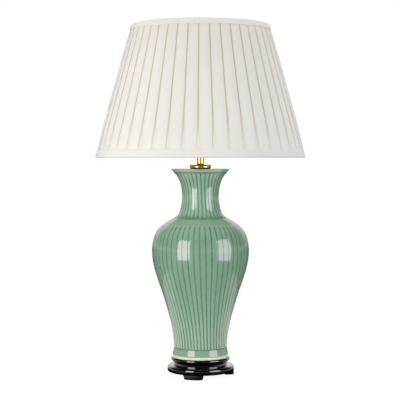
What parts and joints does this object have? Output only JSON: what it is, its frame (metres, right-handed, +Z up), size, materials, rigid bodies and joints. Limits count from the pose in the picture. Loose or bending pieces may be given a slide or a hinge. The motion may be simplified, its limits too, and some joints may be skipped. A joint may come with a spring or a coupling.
{
  "type": "table lamp",
  "caption": "Table lamp: fluted celadon baluster vase on a black stand with three carved feet, brass stem and lampholder, box-pleated white empire shade.",
  "frame": {"origin": "on the surface that the lamp stands on, under the lamp's axis", "axes": "+Z up the lamp's axis, -Y towards the lamp's front, +X to the viewer's right"},
  "size_m": [0.4559, 0.456, 0.7653],
  "materials": {
    "black_lacquer": "gloss",
    "felt": "matte",
    "celadon": "gloss",
    "zinc_steel": "satin",
    "black_rubber": "matte",
    "polished_brass": "polished",
    "contact_brass": "satin",
    "porcelain": "satin",
    "black_plastic": "satin",
    "opal_glass": "satin",
    "bulb_aluminium": "satin",
    "insulator_black": "gloss",
    "white_wire": "satin",
    "pleated_cloth": "matte",
    "binding_cloth": "matte",
    "lining_cloth": "matte"
  },
  "bodies": {
    "root": {"felt_pads": "felt", "stand_feet": "black_lacquer", "stand_plate": "black_lacquer", "stand_collar": "black_lacquer", "foot_gasket": "felt", "cord_bush": "black_plastic", "vase": "celadon", "threaded_rod": "zinc_steel", "clamp_washer": "zinc_steel", "lock_washer": "zinc_steel", "clamp_nut": "zinc_steel", "cap_washer": "black_rubber", "vase_cap": "polished_brass", "stem_tube": "polished_brass", "holder_cap": "polished_brass", "holder_nut": "zinc_steel", "holder_core": "porcelain", "terminal_screws": "contact_brass", "centre_contact": "contact_brass", "side_contact": "contact_brass", "screw_shell": "contact_brass", "holder_skirt": "polished_brass"},
    "switch": {"switch_bar": "black_plastic"},
    "shade": {"shade_fitter": "white_wire", "fitter_arms": "white_wire", "top_wire": "white_wire", "bottom_wire": "white_wire", "shade_struts": "white_wire", "shade_lining": "lining_cloth", "pleated_cover": "pleated_cloth", "top_binding": "binding_cloth", "bottom_binding": "binding_cloth"},
    "shade_ring": {"shade_ring": "polished_brass"},
    "bulb_carrier": {"bulb_tip": "contact_brass"},
    "bulb": {"bulb_insulator": "insulator_black", "bulb_cap": "bulb_aluminium", "bulb_glass": "opal_glass"}
  },
  "joints": [
    {"name": "switch_slide", "type": "slide", "parent": "root", "child": "switch", "axis": [-1, 0, 0], "range_m": [0, 0.007]},
    {"name": "shade_turn", "type": "hinge", "parent": "root", "child": "shade", "pos_m": [0, 0, 0.589], "axis": [0, 0, 1], "continuous": true},
    {"name": "ring_lift", "type": "slide", "parent": "root", "child": "shade_ring", "axis": [0, 0, 1], "range_m": [0, 0.008]},
    {"name": "bulb_lift", "type": "slide", "parent": "root", "child": "bulb_carrier", "axis": [0, 0, 1], "range_m": [0, 0.01089]},
    {"name": "bulb_turn", "type": "hinge", "parent": "bulb_carrier", "child": "bulb", "pos_m": [0, 0, 0.58], "axis": [0, 0, 1], "range_deg": [0, 1080]}
  ],
  "couplings": [
    {"joint": "bulb_lift", "follows": "bulb_turn", "m_per_rad": 0.00057757}
  ]
}
